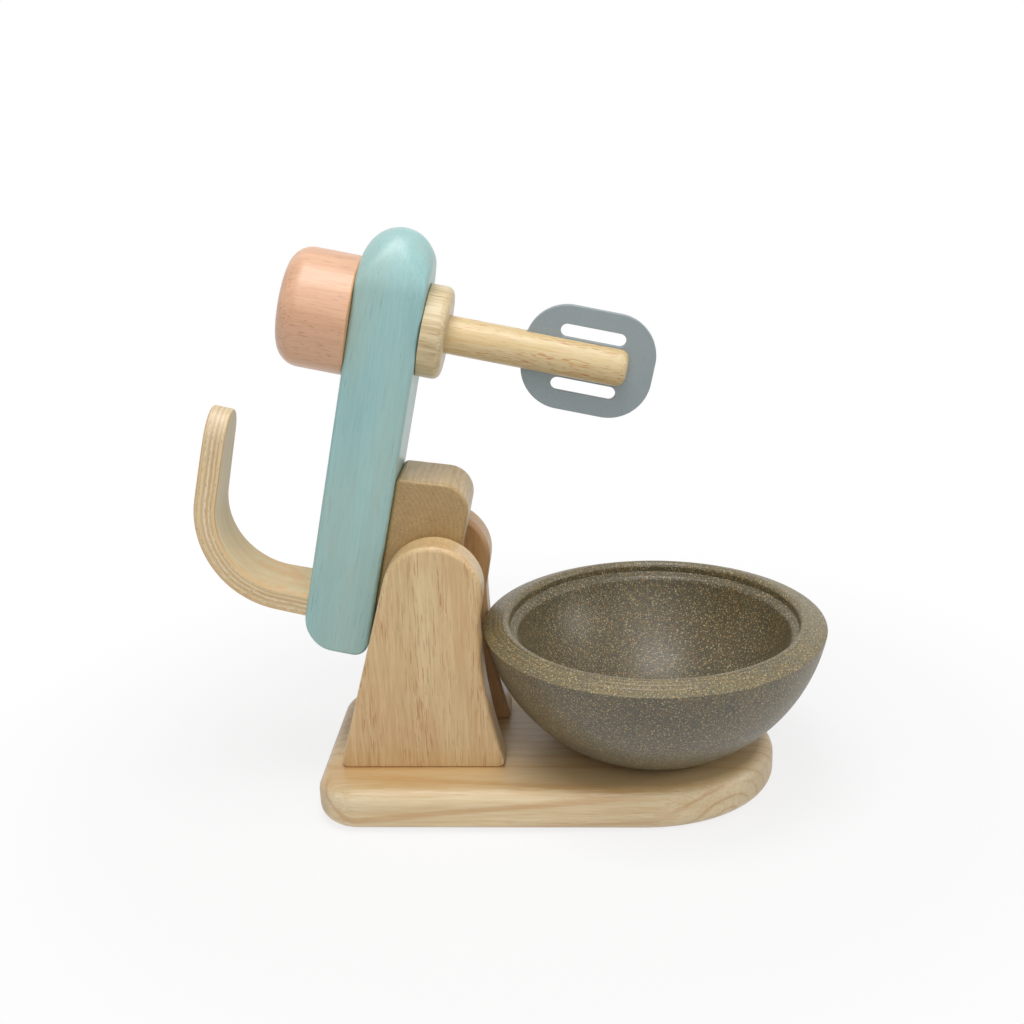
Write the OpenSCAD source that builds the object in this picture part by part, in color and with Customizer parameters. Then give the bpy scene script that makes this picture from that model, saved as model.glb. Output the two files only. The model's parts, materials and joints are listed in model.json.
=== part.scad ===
// Toy stand mixer in wood, with a head that tips back, a turning paddle and a loose bowl.
// Lengths are in millimetres. The origin is the centre of the base board's underside,
// +X points to the bowl's end, +Y to the back and +Z up.
// The head and all that it carries are drawn level, about the hinge, and then tipped back.

/* [Base board] */
// Length of the base board
base_len = 200.7; // [170:0.1:240]
// Width of the base board
base_w = 105.7; // [85:0.1:140]
// Thickness of the base board
base_th = 19.6; // [16:0.1:30]
// Plan radius of the two square-end corners
base_corner_r = 18.9; // [12:0.1:40]
// Length of the half-oval nose under the bowl
base_nose_len = 59.4; // [40:0.1:80]
// Rounding of the upper edge
base_top_round = 6.5; // [2:0.1:8]
// Rounding of the lower edge
base_low_round = 7.5; // [2:0.1:8]

/* [Uprights] */
// Thickness of each upright
upright_th = 15.2; // [13:0.1:20]
// Distance between the uprights' inner faces
upright_gap = 30.7; // [24:0.1:40]
// Radius of the round top
upright_top_r = 21.3; // [17:0.1:24]
// Left end of the board to the foot
foot_inset = 9.7; // [8:0.05:16]
// Length of the foot
foot_len = 72.35; // [66:0.05:76]
// Hinge axis to the right side at the waist
waist_dx = 19; // [16:0.1:20]
// Height above the board at which the foot starts to flare out
flare_h = 66.4; // [50:0.1:68]
// Corner radius of the foot
foot_corner_r = 2.5; // [1.5:0.1:5]
// Rounding of the long edges
upright_round = 1.1; // [0.5:0.1:1.4]

/* [Hinge] */
// Left end of the foot to the hinge axis
pivot_dx = 43.65; // [41:0.05:46]
// Hinge axis above the base board
pivot_h = 81.4; // [76:0.1:90]
// Angle by which the head tips back
tip_angle = 77.63; // [70:0.01:77.8]
// Diameter of the steel hinge pin
pin_d = 8; // [5:0.1:9]
// How far each end of the pin goes into its upright
pin_seat = 11; // [6:0.1:12]
// Diameter of the dowel on which the closed head rests
stop_d = 10; // [6:0.1:10.5]
// How far each end of the stop dowel goes into its upright
stop_seat = 9; // [5:0.1:12]
// Stop dowel to the right of the hinge axis
stop_dx = 11; // [9:0.1:12]

/* [Hinge block] */
// Length of the block past the hinge, towards the paddle
block_front = 42.4; // [30:0.1:60]
// Length of the block behind the hinge
block_back = 16.6; // [14:0.1:18]
// Wood between the hinge axis and the block's lower face
block_drop = 8.5; // [7:0.1:9]
// How far the lower front corner stands out past the upper one
block_lean = 1.5; // [0:0.1:3]
// Radius of the two lower corners
block_corner_r = 11.5; // [8:0.1:14]
// Rounding of the block's edges
block_round = 1.5; // [0.5:0.1:2]

/* [Head] */
// Hinge axis to the head's underside
head_rise = 23.9; // [22.5:0.1:27]
// Thickness of the head
head_th = 29; // [24:0.1:34]
// Width of the head
head_w = 37; // [35:0.1:44]
// Hinge axis to the tip of the nose
head_front = 141.9; // [130:0.1:160]
// Hinge axis to the tail
head_back = 40.6; // [37:0.1:44]
// Radius of the tail's upper corner
tail_top_r = 14.5; // [10:0.1:14.5]
// Radius of the tail's lower corner
tail_low_r = 6.5; // [5:0.1:8]
// Rounding of the head's long edges
head_round = 4; // [1:0.1:4.5]

/* [Handle] */
// Thickness of the bent plywood
handle_th = 9.5; // [8:0.1:12]
// Width of the handle where it leaves the head
handle_w = 32.6; // [26:0.1:33]
// Inside radius of the bend
handle_bend_r = 32.1; // [26:0.1:38]
// Hinge axis back to the middle of the handle's foot
handle_dx = 22.3; // [21:0.1:24]
// Straight length between the head and the bend
handle_rise = 13.7; // [6:0.1:20]
// Length of the grip past the bend, along its gentle droop
handle_grip = 39.6; // [35:0.1:50]
// Radius of the grip's droop
handle_droop_r = 1500; // [400:10:4000]
// Narrowing of each side per length towards the grip's tip
handle_taper_x = 0.056; // [0:0.001:0.08]
// Narrowing of each side per length away from the head
handle_taper_z = 0.053; // [0:0.001:0.08]
// Length of the tip that is round in plan
handle_tip = 13; // [8:0.1:18]
// Rounding of the tip's upper and lower edges
handle_tip_r = 1.2; // [0.5:0.1:3.5]
// Depth of the mortise in the head
mortise_depth = 14; // [8:0.1:18]

/* [Beater] */
// Hinge axis to the beater's axis
beater_dx = 103.9; // [98:0.1:112]
// Diameter of the beater's dowel
shaft_d = 16; // [12:0.1:20]
// Dowel below the head's underside
shaft_drop = 86; // [70:0.1:88]
// Rounding of the dowel's lower end
shaft_end_round = 4; // [1:0.1:5]
// Diameter of the knob
knob_d = 50; // [42:0.1:56]
// Height of the knob
knob_h = 29.6; // [22:0.1:36]
// Rounding of the knob's outer rim
knob_round = 9.5; // [4:0.1:12]
// Rounding of the knob's rim next to the head
knob_low_round = 1; // [0.4:0.1:2]
// How far the dowel goes into the knob
knob_seat = 18; // [10:0.1:20]
// Diameter of the collar
collar_d = 38.8; // [32:0.1:40]
// How far the collar stands below the head
collar_h = 10.1; // [6:0.1:14]
// Rounding of the collar's lower rim
collar_round = 3.5; // [1:0.1:5]
// Thickness of the washer let into the head under the knob
washer_th = 0.9; // [0.5:0.1:1.5]
// Thickness of the washer between the head and the collar
collar_washer_th = 0.5; // [0.4:0.1:1]
// How far that washer stands out past the collar
collar_washer_lip = 1; // [0:0.1:2]

/* [Paddle] */
// Width of the paddle
paddle_w = 44.3; // [38:0.1:50]
// Height of the paddle
paddle_h = 55; // [46:0.1:58]
// Thickness of the paddle
paddle_th = 2.6; // [2:0.1:4]
// Corner radius of the paddle
paddle_r = 17.8; // [8:0.1:19]
// How far the paddle reaches past the end of its dowel
paddle_past = 11.1; // [6:0.1:12]
// Width of each of the paddle's two slots
slot_w = 5.5; // [3:0.1:6]
// Length of each slot
slot_len = 27.5; // [16:0.1:32]
// Paddle's middle line to the middle of each slot
slot_dx = 11.4; // [11.2:0.1:13]

/* [Bowl] */
// Room between the uprights and the bowl's rim
bowl_gap = 1.1; // [0.5:0.1:6]
// Radius of the crisp outer edge of the rim
rim_r = 75.3; // [70:0.1:84]
// Height of that edge above the board
rim_h = 55.5; // [50:0.1:65]
// Radius of the flat foot
foot_r = 33; // [26:0.1:40]
// Rise of the rim from its outer edge to its crest
rim_rise = 3.4; // [2.6:0.1:5]
// Width of the rim, from its outer edge to the mouth
rim_w = 11.8; // [9:0.1:14]
// Rounding of the rim's inner edge
mouth_round = 2.5; // [1:0.1:3]
// Depth of the mouth's wall, from the crest down to the ledge
mouth_depth = 4.7; // [4:0.1:8]
// Width of the ledge inside the mouth
ledge_w = 3.5; // [2.5:0.1:5]
// Drop of the ledge over its width
ledge_drop = 1.6; // [0:0.1:3]
// Rounding from the ledge into the well
ledge_round = 3; // [1:0.1:3.5]
// Thickness of the bowl's floor
bowl_floor = 4.6; // [3:0.1:5]
// Number of rings turned into the rim
ring_count = 2; // [0:1:3]

/* [Joinery] */
// Diameter of the glued dowels
dowel_d = 8; // [5:0.1:9]
// How far the feet's dowels go into the board
dowel_in_board = 12; // [8:0.1:14]
// How far the feet's dowels go into the upright
dowel_in_upright = 15; // [8:0.1:24]
// How far the block's dowels go into the head
dowel_in_head = 12; // [8:0.1:18]
// How far the block's dowels go into the block
dowel_in_block = 14; // [8:0.1:20]
// Diameter of a wood screw's thread
screw_d = 4; // [3:0.1:5]
// Diameter of a wood screw's head
screw_head_d = 7.4; // [6:0.1:9]
// How far a foot's screw goes into the upright
foot_screw_bite = 18; // [10:0.1:26]
// How far a handle's screw goes into the handle
handle_screw_bite = 13; // [6:0.1:20]
// Diameter of the plugs over the screws
plug_d = 9; // [8:0.1:12]
// Thickness of the plugs
plug_th = 3.5; // [2:0.1:5]

/* [Fits] */
// Room all round between two pieces that are glued
glue_room = 0.05; // [0.02:0.01:0.15]
// Radial play of a pin or shaft that turns
run_play = 0.06; // [0.02:0.01:0.1]
// Room between pieces that pass each other
pass_room = 0.3; // [0.2:0.05:0.5]

/* [Hidden] */

round_fn = 96;
hull_fn = 32;
wide_hull_fn = 56;
arc_steps = 6;
edge_steps = 3;
cut = 1;

foot_left_x = -base_len / 2 + foot_inset;
foot_right_x = foot_left_x + foot_len;
pivot_x = foot_left_x + pivot_dx;
waist_x = pivot_x + waist_dx;
pivot_z = base_th + pivot_h;
upright_y = (upright_gap + upright_th) / 2;
foot_dowel_inset = 14;
foot_dowel_xs = [foot_left_x + foot_dowel_inset, foot_right_x - foot_dowel_inset];
foot_screw_x = (foot_left_x + foot_right_x) / 2;

head_low = head_rise;
head_top = head_rise + head_th;
block_w = upright_gap - 2 * pass_room;
block_dowel_xs = [block_front / 3, block_front * 3 / 4];
stop_z = -block_drop - pass_room - stop_d / 2;

handle_low = head_top - mortise_depth;
handle_bend_z = head_top + handle_rise;
handle_out_r = handle_bend_r + handle_th;
handle_bend_x = -handle_dx + handle_th / 2 + handle_bend_r;
handle_tip_x = handle_bend_x + handle_grip;
handle_top = handle_bend_z + handle_out_r;
handle_screw_y = handle_w / 4;

knob_low = head_top + pass_room;
washer_d = shaft_d + 10;
recess_room = 0.4;
collar_washer_low = head_low - glue_room - collar_washer_th;
collar_high = collar_washer_low - pass_room;
shaft_low = head_low - shaft_drop;
paddle_low = shaft_low - paddle_past;
paddle_mid = paddle_low + paddle_h / 2;

// Points of an arc about c, from angle a0 to a1
function arc(c, r, a0, a1, n = arc_steps) =
    [for (i = [0:n]) let (a = a0 + (a1 - a0) * i / n) c + r * [cos(a), sin(a)]];

// Half section of a disc whose lower and upper rims are rounded
function disc_section(r, h, low, high, n) =
    concat([[0, 0]], arc([r - low, low], low, -90, 0, n),
        arc([r - high, h - high], high, 0, 90, n), [[0, h]]);

// Disc that stands on the XY plane
module disc(r, h, low, high, fn = hull_fn, n = arc_steps) {
    rotate_extrude($fn = fn)
        polygon(disc_section(r, h, low, high, n));
}

// Disc on edge, its axis along Y and its middle at y = 0
module puck(r, w, edge, fn = hull_fn) {
    rotate([90, 0, 0])
        translate([0, 0, -w / 2])
            disc(r, w, edge, edge, fn, edge_steps);
}

// Cylinder along Y, from y0 to y1
module rod_y(d, y0, y1) {
    translate([0, y1, 0])
        rotate([90, 0, 0])
            cylinder(d = d, h = y1 - y0, $fn = round_fn);
}

// Cylinder along Z, from z0 to z1
module rod_z(d, z0, z1) {
    translate([0, 0, z0])
        cylinder(d = d, h = z1 - z0, $fn = round_fn);
}

// Dowel along Z with its two ends chamfered
module dowel_z(d, z0, z1) {
    chamfer = 0.8;
    translate([0, 0, z0])
        rotate_extrude($fn = round_fn)
            polygon([[0, 0], [d / 2 - chamfer, 0], [d / 2, chamfer], [d / 2, z1 - z0 - chamfer],
                [d / 2 - chamfer, z1 - z0], [0, z1 - z0]]);
}

// Countersunk wood screw along Z, its head at z0 and its point at z1
module wood_screw(z0, z1) {
    rim = 0.5;
    cone = (screw_head_d - screw_d) / 2;
    point = 1.5 * screw_d;
    socket_d = screw_head_d / 3;
    difference() {
        translate([0, 0, z0])
            rotate_extrude($fn = round_fn)
                polygon([[0, 0], [screw_head_d / 2, 0], [screw_head_d / 2, rim],
                    [screw_d / 2, rim + cone], [screw_d / 2, z1 - z0 - point], [0.2, z1 - z0],
                    [0, z1 - z0]]);
        translate([0, 0, z0 - cut])
            cylinder(d = socket_d, h = cut + rim + cone / 2, $fn = 6);
    }
}

// Hole for a countersunk screw and its plug, opening at z0 and going up to z1
module screw_hole(z0, z1) {
    seat = z0 + plug_th + glue_room;
    rod_z(plug_d + 2 * glue_room, z0 - cut, seat + screw_head_d / 2);
    rod_z(screw_d + 2 * glue_room, z0, z1);
}

// Everything that tips with the head is drawn level about the hinge axis
module tipped() {
    translate([pivot_x, 0, pivot_z])
        rotate([0, -tip_angle, 0])
            children();
}

module on_beater_axis() {
    tipped()
        translate([beater_dx, 0, 0])
            children();
}

module for_both_uprights() {
    for (side = [-1, 1])
        translate([0, side * upright_y, 0])
            children();
}

// Base board
module board_outline() {
    half_w = base_w / 2;
    corner_x = -base_len / 2 + base_corner_r;
    hull() {
        for (side = [-1, 1])
            translate([corner_x, side * (half_w - base_corner_r), 0])
                disc(base_corner_r, base_th, base_low_round, base_top_round);
        translate([base_len / 2 - base_nose_len, 0, 0])
            scale([base_nose_len / half_w, 1, 1])
                disc(half_w, base_th, base_low_round, base_top_round, wide_hull_fn);
    }
}

module base_board() {
    color("#dcc39a")
        difference() {
            board_outline();
            for_both_uprights() {
                for (x = foot_dowel_xs)
                    translate([x, 0, 0])
                        rod_z(dowel_d + 2 * glue_room, base_th - dowel_in_board, base_th + cut);
                translate([foot_screw_x, 0, 0])
                    screw_hole(0, base_th + cut);
            }
        }
}

// Uprights
// Middles of the edge rollers that run down the flared side, from the waist to the foot
function flare_points() =
    let (drop = flare_h, out = foot_right_x - waist_x, r = (drop * drop + out * out) / (2 * out),
        centre = [waist_x + r, base_th + flare_h], inner = r + foot_corner_r,
        last = asin((flare_h - foot_corner_r) / inner), n = 4)
    [for (i = [0:n]) centre - inner * [cos(last * i / n), sin(last * i / n)]];

module upright_roller(p, r = foot_corner_r, fn = hull_fn) {
    translate([p[0], 0, p[1]])
        puck(r, upright_th, upright_round, fn);
}

module upright_outline() {
    heel = [foot_left_x + foot_corner_r, base_th + foot_corner_r];
    flare = flare_points();
    hull() {
        upright_roller([pivot_x, pivot_z], upright_top_r, wide_hull_fn);
        upright_roller(heel);
        upright_roller(flare[0]);
    }
    for (i = [1:len(flare) - 1])
        hull() {
            upright_roller(heel);
            upright_roller(flare[i - 1]);
            upright_roller(flare[i]);
        }
}

// inner is the direction along Y in which the other upright stands
module upright(inner) {
    face = inner * upright_th / 2;
    color("#d8b98c")
        translate([0, -inner * upright_y, 0])
            difference() {
                upright_outline();
                translate([pivot_x, 0, pivot_z])
                    rod_y(pin_d + 2 * glue_room, min(face - inner * pin_seat, face + inner * cut),
                        max(face - inner * pin_seat, face + inner * cut));
                translate([pivot_x + stop_dx, 0, pivot_z + stop_z])
                    rod_y(stop_d + 2 * glue_room, min(face - inner * stop_seat, face + inner * cut),
                        max(face - inner * stop_seat, face + inner * cut));
                for (x = foot_dowel_xs)
                    translate([x, 0, 0])
                        rod_z(dowel_d + 2 * glue_room, base_th - cut, base_th + dowel_in_upright);
                translate([foot_screw_x, 0, 0])
                    rod_z(screw_d + 2 * glue_room, base_th - cut, base_th + foot_screw_bite);
            }
}

module upright_front() {
    upright(1);
}

module upright_rear() {
    upright(-1);
}

module upright_dowels() {
    color("#e3cfa6")
        for_both_uprights()
            for (x = foot_dowel_xs)
                translate([x, 0, 0])
                    dowel_z(dowel_d, base_th - dowel_in_board + glue_room,
                        base_th + dowel_in_upright - glue_room);
}

module upright_screws() {
    color("#b9bcc0")
        for_both_uprights()
            translate([foot_screw_x, 0, 0])
                wood_screw(plug_th + 2 * glue_room, base_th + foot_screw_bite - glue_room);
}

module base_plugs() {
    color("#cfae7c")
        for_both_uprights()
            translate([foot_screw_x, 0, 0])
                rod_z(plug_d, 0, plug_th);
}

module stop_dowel() {
    reach = upright_gap / 2 + stop_seat - glue_room;
    color("#e3cfa6")
        translate([pivot_x + stop_dx, 0, pivot_z + stop_z])
            rod_y(stop_d, -reach, reach);
}

module hinge_pin() {
    reach = upright_gap / 2 + pin_seat - glue_room;
    color("#c4c7ca")
        translate([pivot_x, 0, pivot_z])
            rod_y(pin_d, -reach, reach);
}

// Hinge block, with its two glued dowels
module block_outline() {
    top_r = 2.5;
    hull() {
        for (x = [-block_back + block_corner_r, block_front + block_lean - block_corner_r])
            translate([x, 0, -block_drop + block_corner_r])
                puck(block_corner_r, block_w, block_round);
        for (x = [-block_back + top_r, block_front - top_r])
            translate([x, 0, head_low - top_r])
                puck(top_r, block_w, block_round);
    }
}

module hinge_block() {
    color("#b5885a")
        tipped()
            difference() {
                block_outline();
                rod_y(pin_d + 2 * run_play, -block_w, block_w);
                for (x = block_dowel_xs)
                    translate([x, 0, 0])
                        rod_z(dowel_d + 2 * glue_room, head_low - dowel_in_block, head_low + cut);
            }
}

module block_dowels() {
    color("#e3cfa6")
        tipped()
            for (x = block_dowel_xs)
                translate([x, 0, 0])
                    dowel_z(dowel_d, head_low - dowel_in_block + glue_room,
                        head_low + dowel_in_head - glue_room);
}

// Head beam
module head_outline() {
    nose_r = head_th / 2;
    tail_r = min(tail_top_r, nose_r);
    hull() {
        translate([head_front - nose_r, 0, head_low + nose_r])
            puck(nose_r, head_w, head_round);
        translate([-head_back + tail_r, 0, head_top - tail_r])
            puck(tail_r, head_w, head_round);
        translate([-head_back + tail_low_r, 0, head_low + tail_low_r])
            puck(tail_low_r, head_w, head_round);
    }
}

module head_beam() {
    mortise_th = handle_th + 2 * glue_room;
    mortise_w = handle_w + 2 * glue_room;
    color("#a5cfc9")
        tipped()
            difference() {
                head_outline();
                translate([beater_dx, 0, 0]) {
                    rod_z(shaft_d + 2 * run_play, head_low - cut, head_top + cut);
                    rod_z(washer_d + 2 * recess_room, head_top - washer_th, head_top + cut);
                }
                translate([-handle_dx - mortise_th / 2, -mortise_w / 2, handle_low])
                    cube([mortise_th, mortise_w, mortise_depth + cut]);
                for (x = block_dowel_xs)
                    translate([x, 0, 0])
                        rod_z(dowel_d + 2 * glue_room, head_low - cut, head_low + dowel_in_head);
                for (side = [-1, 1])
                    translate([-handle_dx, side * handle_screw_y, 0])
                        screw_hole(head_low, handle_low + cut);
            }
}

// Bent plywood handle, its outline in the XZ plane
module handle_outline() {
    bend = [handle_bend_x, handle_bend_z];
    steps = 3 * arc_steps;
    droop = (handle_grip - handle_tip_r) / handle_droop_r * 180 / PI;
    droop_c = bend + [0, handle_bend_r + handle_th / 2 - handle_droop_r];
    half = handle_th / 2;
    corner = half - handle_tip_r;
    aim = [sin(droop), cos(droop)];
    inner = concat([[-handle_dx + half, handle_low + glue_room]],
        arc(bend, handle_bend_r, 180, 90, steps),
        arc(droop_c, handle_droop_r - half, 90, 90 - droop, 2),
        arc(droop_c + (handle_droop_r - corner) * aim, handle_tip_r, -90 - droop, -droop));
    outer = concat([[-handle_dx - half, handle_low + glue_room]],
        arc(bend, handle_out_r, 180, 90, steps),
        arc(droop_c, handle_droop_r + half, 90, 90 - droop, 2),
        arc(droop_c + (handle_droop_r + corner) * aim, handle_tip_r, 90 - droop, -droop));
    polygon(concat(inner, [for (i = [len(outer) - 1:-1:0]) outer[i]]));
}

// Plan of the grip, with its tip drawn as a half oval
module grip_plan() {
    reach = handle_tip_x - handle_tip;
    tip_w = handle_w / 2 - handle_taper_x * (reach - handle_bend_x + handle_bend_r)
        - handle_taper_z * (handle_top - handle_th - head_top);
    back = handle_dx + handle_th;
    translate([-back, -handle_w / 2])
        square([back + reach, handle_w]);
    intersection() {
        translate([reach, -handle_w / 2])
            square([handle_tip + cut, handle_w]);
        polygon([for (a = [-90:7.5:90]) [reach + handle_tip * cos(a), tip_w * sin(a)]]);
    }
}

// Half space beyond one tapered side of the handle
module side_cut() {
    size = 4 * handle_top;
    translate([0, handle_w / 2, head_top])
        rotate([atan(handle_taper_z), 0, 0])
            rotate([0, 0, -atan(handle_taper_x)])
                translate([-size / 2, 0, -size / 2])
                    cube([size, size, size]);
}

module handle() {
    color("#d9c092")
        tipped()
            difference() {
                intersection() {
                    rotate([90, 0, 0])
                        linear_extrude(height = handle_w, center = true)
                            handle_outline();
                    translate([0, 0, handle_low])
                        linear_extrude(height = handle_top)
                            grip_plan();
                }
                for (side = [0, 1])
                    mirror([0, side, 0])
                        translate([handle_bend_x - handle_bend_r, 0, 0])
                            side_cut();
                for (side = [-1, 1])
                    translate([-handle_dx, side * handle_screw_y, 0])
                        rod_z(screw_d + 2 * glue_room, handle_low - cut,
                            handle_low + handle_screw_bite);
            }
}

module handle_screws() {
    color("#b9bcc0")
        tipped()
            for (side = [-1, 1])
                translate([-handle_dx, side * handle_screw_y, 0])
                    wood_screw(head_low + plug_th + 2 * glue_room,
                        handle_low + handle_screw_bite - glue_room);
}

module handle_plugs() {
    color("#a5cfc9")
        tipped()
            for (side = [-1, 1])
                translate([-handle_dx, side * handle_screw_y, 0])
                    rod_z(plug_d, head_low, head_low + plug_th);
}

// Washers on which the knob and the collar turn
module washer(d, z, th) {
    difference() {
        rod_z(d, z, z + th);
        rod_z(shaft_d + 2 * run_play + recess_room, z - cut, z + th + cut);
    }
}

module knob_washer() {
    color("#3a3a3a")
        on_beater_axis()
            washer(washer_d, head_top - washer_th, washer_th);
}

module collar_washer() {
    color("#262626")
        on_beater_axis()
            washer(collar_d + 2 * collar_washer_lip, collar_washer_low, collar_washer_th);
}

// Beater: knob, dowel, collar and paddle turn as one
module knob() {
    color("#e2a88a")
        on_beater_axis()
            difference() {
                translate([0, 0, knob_low])
                    disc(knob_d / 2, knob_h, knob_low_round, knob_round, round_fn);
                rod_z(shaft_d + 2 * glue_room, knob_low - cut, knob_low + knob_seat);
            }
}

module beater_shaft() {
    top = knob_low + knob_seat - glue_room;
    slot_top = paddle_low + paddle_h + glue_room;
    slot_th = paddle_th + 2 * glue_room;
    color("#dcc08e")
        on_beater_axis()
            difference() {
                translate([0, 0, shaft_low])
                    disc(shaft_d / 2, top - shaft_low, shaft_end_round, 0.8, round_fn);
                translate([-shaft_d, -slot_th / 2, shaft_low - cut])
                    cube([2 * shaft_d, slot_th, slot_top - shaft_low + cut]);
            }
}

module collar() {
    low = head_low - collar_h;
    top_round = 0.6;
    color("#d9bf92")
        on_beater_axis()
            translate([0, 0, low])
                difference() {
                    disc(collar_d / 2, collar_high - low, collar_round, top_round, round_fn);
                    rod_z(shaft_d + 2 * glue_room, -cut, 2 * collar_h);
                }
}

module paddle_plan() {
    x = paddle_w / 2 - paddle_r;
    z = paddle_h / 2 - paddle_r;
    difference() {
        union() {
            square([paddle_w, 2 * z], center = true);
            square([2 * x, paddle_h], center = true);
            for (sx = [-1, 1], sz = [-1, 1])
                translate([sx * x, sz * z])
                    circle(r = paddle_r, $fn = round_fn);
        }
        for (side = [-1, 1])
            translate([side * slot_dx, 0]) {
                square([slot_w, slot_len - slot_w], center = true);
                for (end = [-1, 1])
                    translate([0, end * (slot_len - slot_w) / 2])
                        circle(d = slot_w, $fn = round_fn);
            }
    }
}

module paddle() {
    color("#9da3a6")
        on_beater_axis()
            translate([0, 0, paddle_mid])
                rotate([90, 0, 0])
                    linear_extrude(height = paddle_th, center = true)
                        paddle_plan();
}

// Bowl, turned as one profile between two balls and cut flat at the foot.
// The outer ball passes through the foot's edge and the rim's, and the inner one through the
// middle of the floor and the ledge's inner edge.
bowl_x = waist_x + bowl_gap + sqrt(rim_r * rim_r - upright_gap * upright_gap / 4);
bowl_ball_z = (rim_r * rim_r + rim_h * rim_h - foot_r * foot_r) / (2 * rim_h);
bowl_ball_r = sqrt(foot_r * foot_r + bowl_ball_z * bowl_ball_z);
bowl_top = rim_h + rim_rise;
mouth_r = rim_r - rim_w;

function bowl_outer(n = 3 * arc_steps) =
    arc([0, bowl_ball_z], bowl_ball_r, -asin(bowl_ball_z / bowl_ball_r),
        -asin((bowl_ball_z - rim_h) / bowl_ball_r), n);

// Rounded inner edge of the ledge and the well below it
function bowl_inner(n = 3 * arc_steps) =
    let (edge = [mouth_r - ledge_w, bowl_top - mouth_depth - ledge_drop],
        rise = edge[1] - bowl_floor,
        r = (edge[0] * edge[0] + rise * rise) / (2 * rise), c = [0, bowl_floor + r],
        side = asin((edge[1] - c[1]) / r), out = atan(ledge_drop / ledge_w),
        half = (out + 90 - side) / 2, run = ledge_round / tan(half),
        m = edge + ledge_round / sin(half) * [cos(out - half), sin(out - half)])
    concat(arc(m, ledge_round, out + 90, side + 180),
        arc(c, r, side - 2 * run / r * 180 / PI, -90, n));

// Rim from its crisp outer edge to the foot of the mouth's wall, with shallow turned rings
function rim_face() =
    let (edge = [rim_r, rim_h], c = [mouth_r + mouth_round, bowl_top - mouth_round],
        d = edge - c, run = sqrt(d * d - mouth_round * mouth_round),
        slope = atan(mouth_round / run) - atan(d[1] / d[0]),
        along = [-cos(slope), sin(slope)], inward = [-sin(slope), -cos(slope)],
        groove = 0.15, half = 0.6, first = 1.6, spare = 1.9)
    concat([for (i = [0:1:ring_count - 1], p = [[-half, 0], [0, groove], [half, 0]])
            edge + (run * (i + first) / (ring_count + spare) + p[0]) * along + p[1] * inward],
        arc(c, mouth_round, 90 - slope, 180), [[mouth_r, bowl_top - mouth_depth]]);

module bowl() {
    color("#6f6a5c")
        translate([bowl_x, 0, base_th])
            rotate_extrude($fn = 2 * round_fn)
                polygon(concat([[0, 0]], bowl_outer(), rim_face(), bowl_inner()));
}

base_board();
upright_front();
upright_rear();
upright_dowels();
upright_screws();
base_plugs();
stop_dowel();
hinge_pin();
hinge_block();
block_dowels();
head_beam();
handle();
handle_screws();
handle_plugs();
knob_washer();
collar_washer();
knob();
beater_shaft();
collar();
paddle();
bowl();
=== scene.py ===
"""Toy stand mixer: looks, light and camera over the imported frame.

Lengths are in millimetres, as in the part's source, until MM turns them into Blender's metres.
The head and all that tips with it are built level, about the hinge axis, and tipped as one.
"""

import json
import math

import bpy
import numpy as np
from mathutils import Matrix, Vector


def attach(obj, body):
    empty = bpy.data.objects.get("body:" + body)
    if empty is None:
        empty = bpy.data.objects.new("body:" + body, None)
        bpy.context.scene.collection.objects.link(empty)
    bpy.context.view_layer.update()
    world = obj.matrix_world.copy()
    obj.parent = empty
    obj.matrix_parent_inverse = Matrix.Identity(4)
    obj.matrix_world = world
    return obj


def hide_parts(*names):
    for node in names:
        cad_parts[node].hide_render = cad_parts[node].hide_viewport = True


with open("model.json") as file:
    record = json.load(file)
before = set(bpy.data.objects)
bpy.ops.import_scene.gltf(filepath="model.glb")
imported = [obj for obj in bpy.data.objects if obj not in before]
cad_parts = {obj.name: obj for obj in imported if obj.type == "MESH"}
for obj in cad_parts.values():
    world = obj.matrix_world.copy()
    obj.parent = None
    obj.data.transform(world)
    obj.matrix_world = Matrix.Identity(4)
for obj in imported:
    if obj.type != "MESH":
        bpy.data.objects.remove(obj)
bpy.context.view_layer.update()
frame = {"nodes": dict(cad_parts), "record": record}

MM = 0.001

# Camera, solved from the photograph's straight and round edges, with its place in metres
IMAGE_PX = 1024
FOCAL_PX = 1388.86
SENSOR_MM = 36
CAMERA_AT = Vector((0.02506, -0.56742, 0.32054))
CAMERA_PITCH = math.radians(18.79)
CAMERA_YAW = math.radians(3.94)
CAMERA_ROLL = math.radians(2.03)

# Light: name, place, side in metres and watts of each lamp
LAMPS = (("top", (-0.04, -0.20, 0.97), 0.5, 4.7),
         ("front", (0.1, -0.95, 0.80), 1.0, 3.7),
         ("side", (1.09, -0.24, 0.51), 0.3, 2.1))
LAMP_TARGET = Vector((0.0, 0.0, 0.1))
WORLD_LIGHT = 0.26

# Floor, in metres. To the camera it is plain white by a share that grows away from the object
FLOOR_REACH = 6.0
FLOOR_PAPER = (0.86, 0.86, 0.86, 1)
GLOW_NEAR, GLOW_FROM, GLOW_FULL_AT = 0.8, 0.15, 0.32
WHITE = (1, 1, 1, 1)

# Base board
BASE_LEN, BASE_W, BASE_TH = 200.7, 105.7, 19.6
BASE_CORNER_R = 18.9
BASE_NOSE_LEN = 59.4
BASE_LOW_ROUND, BASE_TOP_ROUND = 7.5, 6.5

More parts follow.
